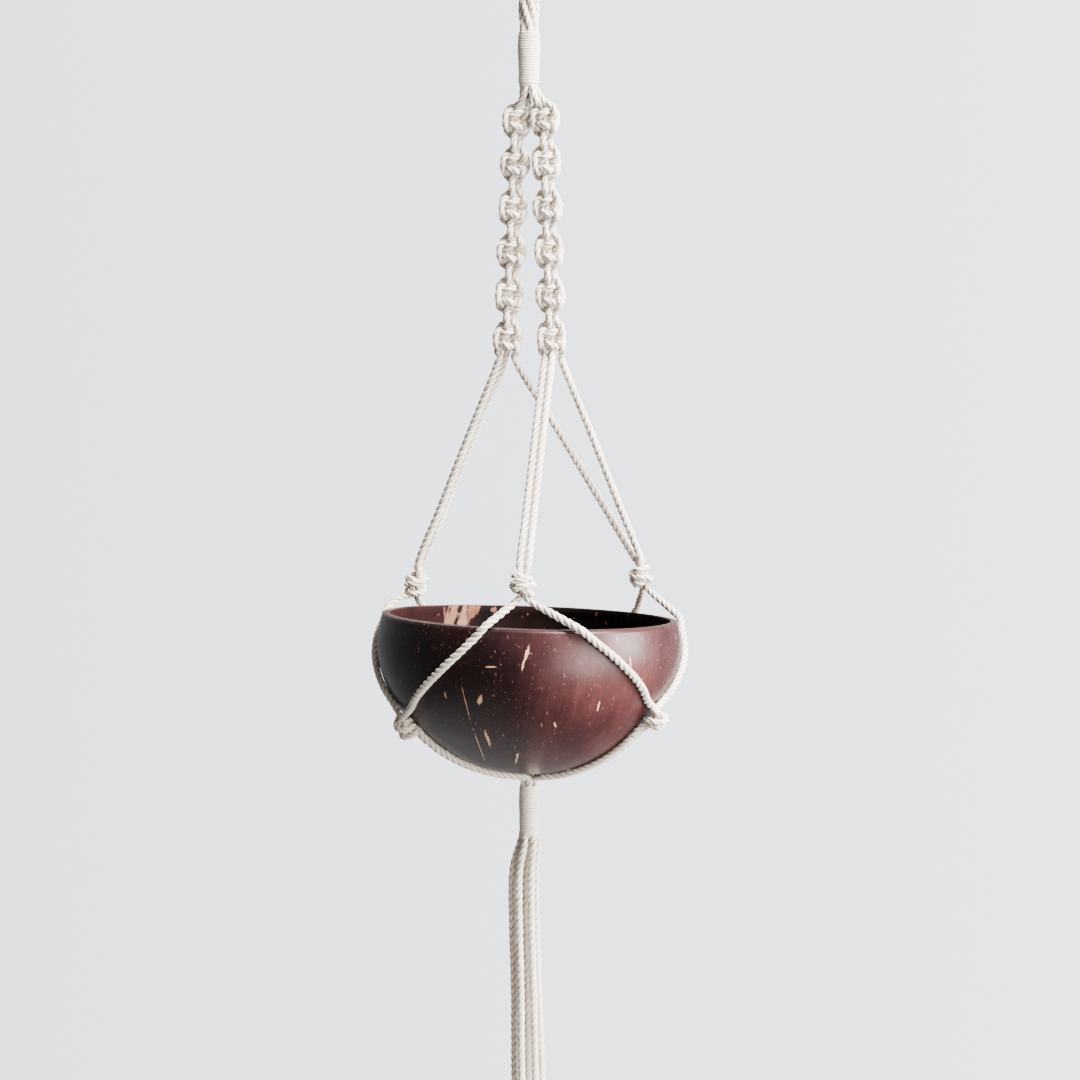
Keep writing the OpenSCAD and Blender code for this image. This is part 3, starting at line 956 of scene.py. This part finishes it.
def binding(name, body, core_r, bulge):
    """Thread wound tight round the six cords, each turn lying against the last.

    The winding swells by bulge a third of the way down, and each end of it is tucked in.
    """
    top, bottom = high_end(name) - THREAD_D / 2, low_end(name) + THREAD_D / 2
    turns = int((top - bottom) / TURN_PITCH)
    rng = np.random.default_rng(len(name))
    n = turns * POINTS_PER_TURN + 1
    t = np.arange(n) / POINTS_PER_TURN
    share = t / turns
    swell = bulge * np.exp(-(((share - 0.3) / 0.22) ** 2))
    wander = np.interp(t, np.arange(turns + 2), rng.uniform(-0.10, 0.10, turns + 2))
    tucked = 0.7 * np.clip(1 - t / 0.8, 0, 1) + 0.7 * np.clip(1 - (turns - t) / 0.8, 0, 1)
    radius = core_r + swell + wander - tucked
    around = 2 * math.pi * t
    z = top + (bottom - top) * share + 0.25 * np.sin(around + 0.6)
    line = np.stack([radius * np.cos(around), radius * np.sin(around), z], axis=1)
    s = run_along(line)
    ahead, _, _ = frames_along(line)
    out = np.stack([np.cos(around), np.sin(around), np.zeros(n)], axis=1)
    rise = np.cross(ahead, out)
    ring = ring_angles(THREAD_POINTS)
    wide = THREAD_D / 2 * (1 + 0.06 * np.sin(s * 1.7) + 0.04 * np.sin(s * 4.3))
    rings = rings_round(line, out, rise, ring[None], wide[:, None])
    tube = TubeMesh()
    # Painted shade on the side of each turn that faces the cords and the turns beside it
    groove_shade = np.broadcast_to(np.clip(0.75 - np.cos(ring), 0, 1) * 0.8, (n, THREAD_POINTS))
    v = np.broadcast_to(ring / (2 * math.pi), (n, THREAD_POINTS)) + (s / 2.2)[:, None]
    tube.add(rings, groove_shade, s, v)
    obj = tube.build(name + "_thread", THREAD)
    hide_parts(name)
    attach(obj, body)


binding("upper_wrap", "upper_binding", 4.2, 0.45)
binding("lower_wrap", "lower_binding", 3.95, 0.15)

# ---- Bowl

# Pale streaks and dark seams on the outside, each as [x, y, z] of its two ends in the bowl's own frame
# and half its width
MARKS = (
    ((0.4, -67.3, 9.0), (-3.0, -67.8, -4.2), 0.85),
    ((-18.7, -65.4, -2.4), (-12.7, -66.9, -2.1), 0.4),
    ((-19.2, -62.3, -14.2), (-20.8, -58.8, -20.2), 1.1),
    ((-28.7, -60.4, -8.8), (-23.4, -51.0, -29.0), 0.22),
    ((-23.6, -52.0, -28.0), (-16.7, -25.3, -49.7), 0.24),
    ((-18.1, -53.1, -29.9), (-14.9, -44.0, -39.6), 0.8),
    ((43.2, -52.5, 3.5), (43.9, -52.1, -2.2), 0.45),
    ((31.0, -56.6, -15.8), (30.0, -54.1, -21.3), 0.5),
    ((11.7, -58.0, -25.7), (12.7, -55.7, -28.5), 0.7),
    ((-2.8, -46.2, -39.8), (-4.4, -33.3, -48.2), 0.6),
    ((-35.5, -53.0, -14.5), (-34.5, -51.0, -18.0), 0.5),
)
MARK_COLOUR = (0.62, 0.33, 0.20)
MARK_DEPTH = 0.045
SEAM_COLOUR = (0.004, 0.002, 0.002)
SEAMS = (
    ((-23.4, -64.0, 12.0), (-21.8, -14.7, -51.4), 0.55),
    ((-1.3, -64.4, -10.0), (-3.1, -33.5, -48.1), 0.5),
)

# The flaked patch inside, in the same way, and the colour of each stroke
FLAKES = (
    (((-40.6, 49.0, 15.0), (-39.4, 50.0, 3.0), 0.6), (0.22, 0.07, 0.065)),
    (((-35.2, 52.0, 20.0), (-39.0, 52.0, -8.0), 3.2), (0.28, 0.135, 0.085)),
    (((-30.0, 54.0, 21.0), (-34.4, 54.0, -14.0), 3.4), (0.32, 0.175, 0.115)),
    (((-27.2, 56.0, 19.0), (-28.6, 57.0, 5.0), 2.8), (0.23, 0.095, 0.057)),
    (((-24.6, 57.0, 17.0), (-25.4, 57.0, 9.0), 1.6), (0.20, 0.08, 0.047)),
    (((-18.6, 60.0, 13.0), (-16.2, 60.0, 10.5), 1.9), (0.24, 0.10, 0.062)),
)


def marked(tree, place, wobble, mark):
    """1 on a long thin patch of the surface, 0 off it, with a ragged edge."""
    a, b = from_bowl(*mark[0]) * MM, from_bowl(*mark[1]) * MM
    run = b - a
    turn = (0.0, math.atan2(run[0], run[2]), 0.0)
    size = (mark[2] * MM, MARK_DEPTH, math.hypot(run[0], run[2]) / 2)
    spot = node(tree, "ShaderNodeMapping", vector_type="TEXTURE", Vector=place)
    set_inputs(spot, {"Location": (a + b) / 2, "Rotation": turn, "Scale": size})
    far = node(tree, "ShaderNodeVectorMath", operation="LENGTH", Vector=spot.outputs["Vector"])
    ragged = summed(tree, far.outputs["Value"], wobble)
    return ramp(tree, ragged, [(0.0, WHITE), (0.62, (0.9, 0.9, 0.9)), (0.85, BLACK)])


def centred(tree, source, reach):
    """A noise value moved to lie round zero, reach to each side."""
    made = node(tree, "ShaderNodeMath", operation="MULTIPLY_ADD")
    set_inputs(made, {0: source, 1: 2 * reach, 2: -reach})
    return made.outputs[0]


def part_of(tree, place, low, high, wobble):
    """Rises from 0 to 1 from left to right between two places, with a wandering edge."""
    split = node(tree, "ShaderNodeSeparateXYZ", Vector=place)
    edge = summed(tree, split.outputs["X"], wobble)
    return risen(tree, edge, low * MM, high * MM, interpolation_type="SMOOTHSTEP")


def specked(tree, base, grain, scale, stretch, least, colour):
    """Adds small pale flecks, drawn out along the grain."""
    noise = scaled_noise(tree, grain, (1.0, 1.0, stretch), scale, 1.0, 0.5)
    flecks = ramp(tree, noise, [(least, BLACK), (least + 0.05, (0.85, 0.85, 0.85))])
    return mixed(tree, "MIX", flecks, base, colour)


def outside_material():
    """Dark on the left and redder to the right, partly the shell's own colour and partly painted shade away
    from the windows, streaked along the grain and polished.
    """
    material, tree, shader = new_material("coconut_outside")
    grain = grain_of(tree)
    place = place_of(tree)
    clouds = scaled_noise(tree, grain, (1.0, 1.0, 0.6), 38.0, 5.0)
    streaks = scaled_noise(tree, grain, (1.0, 1.0, 0.12), 420.0, 4.0, 0.6)
    wander = centred(tree, scaled_noise(tree, place, EVEN, 30.0, 3.0), 0.014)
    dark = ramp(tree, clouds, [(0.35, (0.004, 0.0015, 0.0015)), (0.7, (0.016, 0.004, 0.004))])
    reds = [(0.30, (0.022, 0.005, 0.006)), (0.52, (0.050, 0.013, 0.013)), (0.8, (0.095, 0.030, 0.027))]
    red = ramp(tree, clouds, reds)
    # Partly painted shade: the shell is painted darker on its left, away from the windows, and redder on
    # its lit right
    base = mixed(tree, "MIX", part_of(tree, place, -34.0, 40.0, wander), dark, red)
    lines = ramp(tree, streaks, [(0.40, (0.72, 0.68, 0.68)), (0.62, (1.2, 1.15, 1.12))])
    base = mixed(tree, "MULTIPLY", 0.6, base, lines)
    base = specked(tree, base, grain, 1150.0, 0.45, 0.71, (0.24, 0.095, 0.075))
    base = specked(tree, base, grain, 1900.0, 0.30, 0.70, (0.14, 0.05, 0.042))
    base = specked(tree, base, grain, 420.0, 0.30, 0.765, (0.40, 0.18, 0.12))
    ragged = centred(tree, scaled_noise(tree, place, (1.0, 1.0, 0.5), 620.0, 4.0, 0.75), 1.1)
    for mark in SEAMS:
        base = mixed(tree, "MIX", marked(tree, place, ragged, mark), base, SEAM_COLOUR)
    for mark in MARKS:
        base = mixed(tree, "MIX", marked(tree, place, ragged, mark), base, MARK_COLOUR)
    smear = scaled_noise(tree, place, EVEN, 60.0, 4.0)
    rough = ramp(tree, smear, [(0.3, (0.31, 0.31, 0.31)), (0.7, (0.41, 0.41, 0.41))])
    set_inputs(shader, {"Base Color": base, "Roughness": rough, "IOR": 1.34})
    bumped(tree, shader, streaks, 0.15, 0.0002)
    return material


def inside_material():
    """Nearly black and matt, redder on the left, with the flaked patch on the back wall."""
    material, tree, shader = new_material("coconut_inside")
    grain = grain_of(tree)
    place = place_of(tree)
    clouds = scaled_noise(tree, grain, (1.0, 1.0, 0.8), 60.0, 5.0)
    wander = centred(tree, scaled_noise(tree, place, EVEN, 160.0, 3.0), 0.006)
    browns = [(0.4, (0.004, 0.002, 0.0015)), (0.62, (0.012, 0.004, 0.003)), (0.8, (0.05, 0.011, 0.009))]
    base = ramp(tree, clouds, browns)
    left = part_of(tree, place, -18.0, -34.0, wander)
    base = mixed(tree, "ADD", 1.0, base, mixed(tree, "MIX", left, BLACK, (0.011, 0.0015, 0.002)))
    ragged = centred(tree, scaled_noise(tree, place, (1.0, 1.0, 0.35), 420.0, 4.0, 0.7), 1.3)
    for mark, colour in FLAKES:
        base = mixed(tree, "MIX", marked(tree, place, ragged, mark), base, colour)
    base = specked(tree, base, grain, 700.0, 0.5, 0.72, (0.30, 0.11, 0.08))
    set_inputs(shader, {"Base Color": base, "Roughness": 0.7, "Specular IOR Level": 0.1})
    bumped(tree, shader, clouds, 0.25, 0.0002)
    return material


def rim_material():
    material, tree, shader = new_material("coconut_rim")
    grain = grain_of(tree)
    streaks = scaled_noise(tree, grain, EVEN, 600.0, 3.0)
    base = ramp(tree, streaks, [(0.35, (0.012, 0.004, 0.004)), (0.65, (0.045, 0.018, 0.016))])
    set_inputs(shader, {"Base Color": base, "Roughness": 0.45, "Specular IOR Level": 0.4})
    return material


OUTSIDE, RIM, INSIDE = 0, 1, 2
PROFILE_STEPS = 72
LIP_STEPS = 12
LIP_RISE = 0.4
SPOKES = 256


def bowl_profile():
    """[r, z, surface] from the bottom outside, over the rim, to the bottom inside."""
    outside = []
    for k in range(PROFILE_STEPS + 1):
        a = math.radians(-90 + k * (90 + math.degrees(math.asin(RIM_RISE / BELLY_DROP))) / PROFILE_STEPS)
        z = BELLY_DROP * math.sin(a)
        outside.append((float(skin_r(z)), z, OUTSIDE))
    share = 1 - SHELL_WALL / BOWL_R
    inner = [(r * share, z * share, INSIDE) for r, z, _ in outside[::-1]]
    inside = [point for point in inner if point[1] < RIM_RISE - 1.2]
    edge_r, inner_r = outside[-1][0], inside[0][0]
    lip = []
    # The lip is highest at its inner edge
    for k in range(1, LIP_STEPS):
        across = (1 - math.cos(math.pi * k / LIP_STEPS)) / 2
        lift = LIP_RISE * math.sin(math.pi / 2 * k / LIP_STEPS) ** 0.8
        lip.append((edge_r + (inner_r - edge_r) * across, RIM_RISE - 0.1 + lift, RIM))
    return outside + lip + [(inner_r, RIM_RISE - 0.15, INSIDE)] + inside


def coconut_bowl():
    profile = bowl_profile()
    r, z = np.array([p[:2] for p in profile]).T
    run = np.concatenate([[0], np.cumsum(np.hypot(np.diff(r), np.diff(z)))])
    # The rows at the two bottoms are points, so a small face closes each end instead
    r, z, run, surface = r[1:-1], z[1:-1], run[1:-1], [p[2] for p in profile[1:-1]]
    turn = ring_angles(SPOKES)
    # A shell is never quite round, and its rim never quite level
    wave = 0.0005 * np.cos(3 * turn + 0.7) + 0.0003 * np.cos(5 * turn + 2.1)
    radius = r[:, None] * (1 + wave[None] * np.clip(r / BOWL_R, 0, 1)[:, None])
    dip = 0.25 * np.cos(2 * turn + 0.4)[None] * (r / BOWL_R)[:, None] * (z > 10)[:, None]
    x, y, up = radius * np.cos(turn), radius * np.sin(turn), z[:, None] + dip
    points = from_bowl(x, y, up).reshape(-1, 3)
    mesh = bpy.data.meshes.new("coconut_shell")
    mesh.from_pydata((points * MM).tolist(), [], grid_faces(len(r), SPOKES))
    # The grain runs down the shell: its x and y don't change from rim to bottom
    around = np.broadcast_arrays(BOWL_R * np.cos(turn), BOWL_R * np.sin(turn), run[:, None])
    grain = np.stack(around, axis=-1)
    layer = mesh.attributes.new("grain", "FLOAT_VECTOR", "POINT")
    layer.data.foreach_set("vector", (grain * MM).astype(np.float32).ravel())
    mesh.polygons.foreach_set("use_smooth", [True] * len(mesh.polygons))
    obj = make_object("coconut_shell", mesh, outside_material())
    mesh.materials.append(rim_material())
    mesh.materials.append(inside_material())
    slots = np.repeat(surface[:-1], SPOKES).tolist() + [OUTSIDE, INSIDE]
    mesh.polygons.foreach_set("material_index", slots)
    mesh.update()
    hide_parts("coconut_bowl")
    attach(obj, "bowl")


coconut_bowl()

# ---- Floor, far below, as a planter hangs

FLOOR_Z = -2300.0
FLOOR_REACH = 2000.0
FLOOR_COLOUR = (0.92, 0.92, 0.92, 1)


def add_floor():
    mesh = bpy.data.meshes.new("floor")
    r, z = FLOOR_REACH * MM, FLOOR_Z * MM
    mesh.from_pydata([(-r, -r, z), (r, -r, z), (r, r, z), (-r, r, z)], [], [(0, 1, 2, 3)])
    material, _, shader = new_material("floor_paint")
    set_inputs(shader, {"Base Color": FLOOR_COLOUR, "Roughness": 0.9})
    make_object("floor", mesh, material)


add_floor()

# ---- Light: two windows and the sky to the right, a bright wall far behind, a dimmer room in front

LAMP_SPREAD = math.radians(90.0)
WINDOW_LIGHT = (1.0, 0.985, 0.965)
SKY_LIGHT = (0.97, 0.985, 1.0)
# How bright the wall looks, and each half of the room is, on the left and on the right
WALL = ((2.50, 2.62, 2.82), (3.15, 3.28, 3.45))
ROOM_BEHIND = ((0.42, 0.43, 0.46), (0.90, 0.92, 0.96))
ROOM_AHEAD = ((0.17, 0.17, 0.18), (0.34, 0.345, 0.35))


def area_light(name, place, aim, size, watts, colour):
    data = bpy.data.lights.new(name, "AREA")
    data.shape = "RECTANGLE"
    data.size = size[0] * MM
    data.size_y = size[1] * MM
    data.energy = watts
    data.spread = LAMP_SPREAD
    data.color = colour
    light = bpy.data.objects.new(name, data)
    bpy.context.scene.collection.objects.link(light)
    light.location = [x * MM for x in place]
    direction = Vector(aim) - Vector(place)
    light.rotation_euler = direction.to_track_quat("-Z", "Y").to_euler()


def add_world():
    """Bright behind, dimmer in front, and dimmest in front on the left."""
    world = bpy.data.worlds.new("room")
    bpy.context.scene.world = world
    world.use_nodes = True
    tree = world.node_tree
    around = node(tree, "ShaderNodeTexCoord").outputs["Generated"]
    ways = node(tree, "ShaderNodeSeparateXYZ", Vector=around)
    depth = risen(tree, ways.outputs["Y"], -0.5, 0.75)
    behind = mixed(tree, "MIX", risen(tree, ways.outputs["X"], -0.6, 0.6), *ROOM_BEHIND)
    ahead = mixed(tree, "MIX", risen(tree, ways.outputs["X"], -0.8, 0.8), *ROOM_AHEAD)
    room = mixed(tree, "MIX", depth, ahead, behind)
    wall = mixed(tree, "MIX", risen(tree, ways.outputs["X"], -0.22, 0.22), *WALL)
    seen = node(tree, "ShaderNodeLightPath").outputs["Is Camera Ray"]
    set_inputs(tree.nodes["Background"], {"Color": mixed(tree, "MIX", seen, room, wall)})


area_light("window", (930, -970, -470), (0, 0, -300), (1000, 900), 10.5, WINDOW_LIGHT)
area_light("side_window", (1270, -300, -110), (0, 0, -300), (560, 640), 19.0, SKY_LIGHT)
area_light("sky", (560, -360, 640), (0, 0, -230), (460, 460), 27.0, SKY_LIGHT)
add_world()
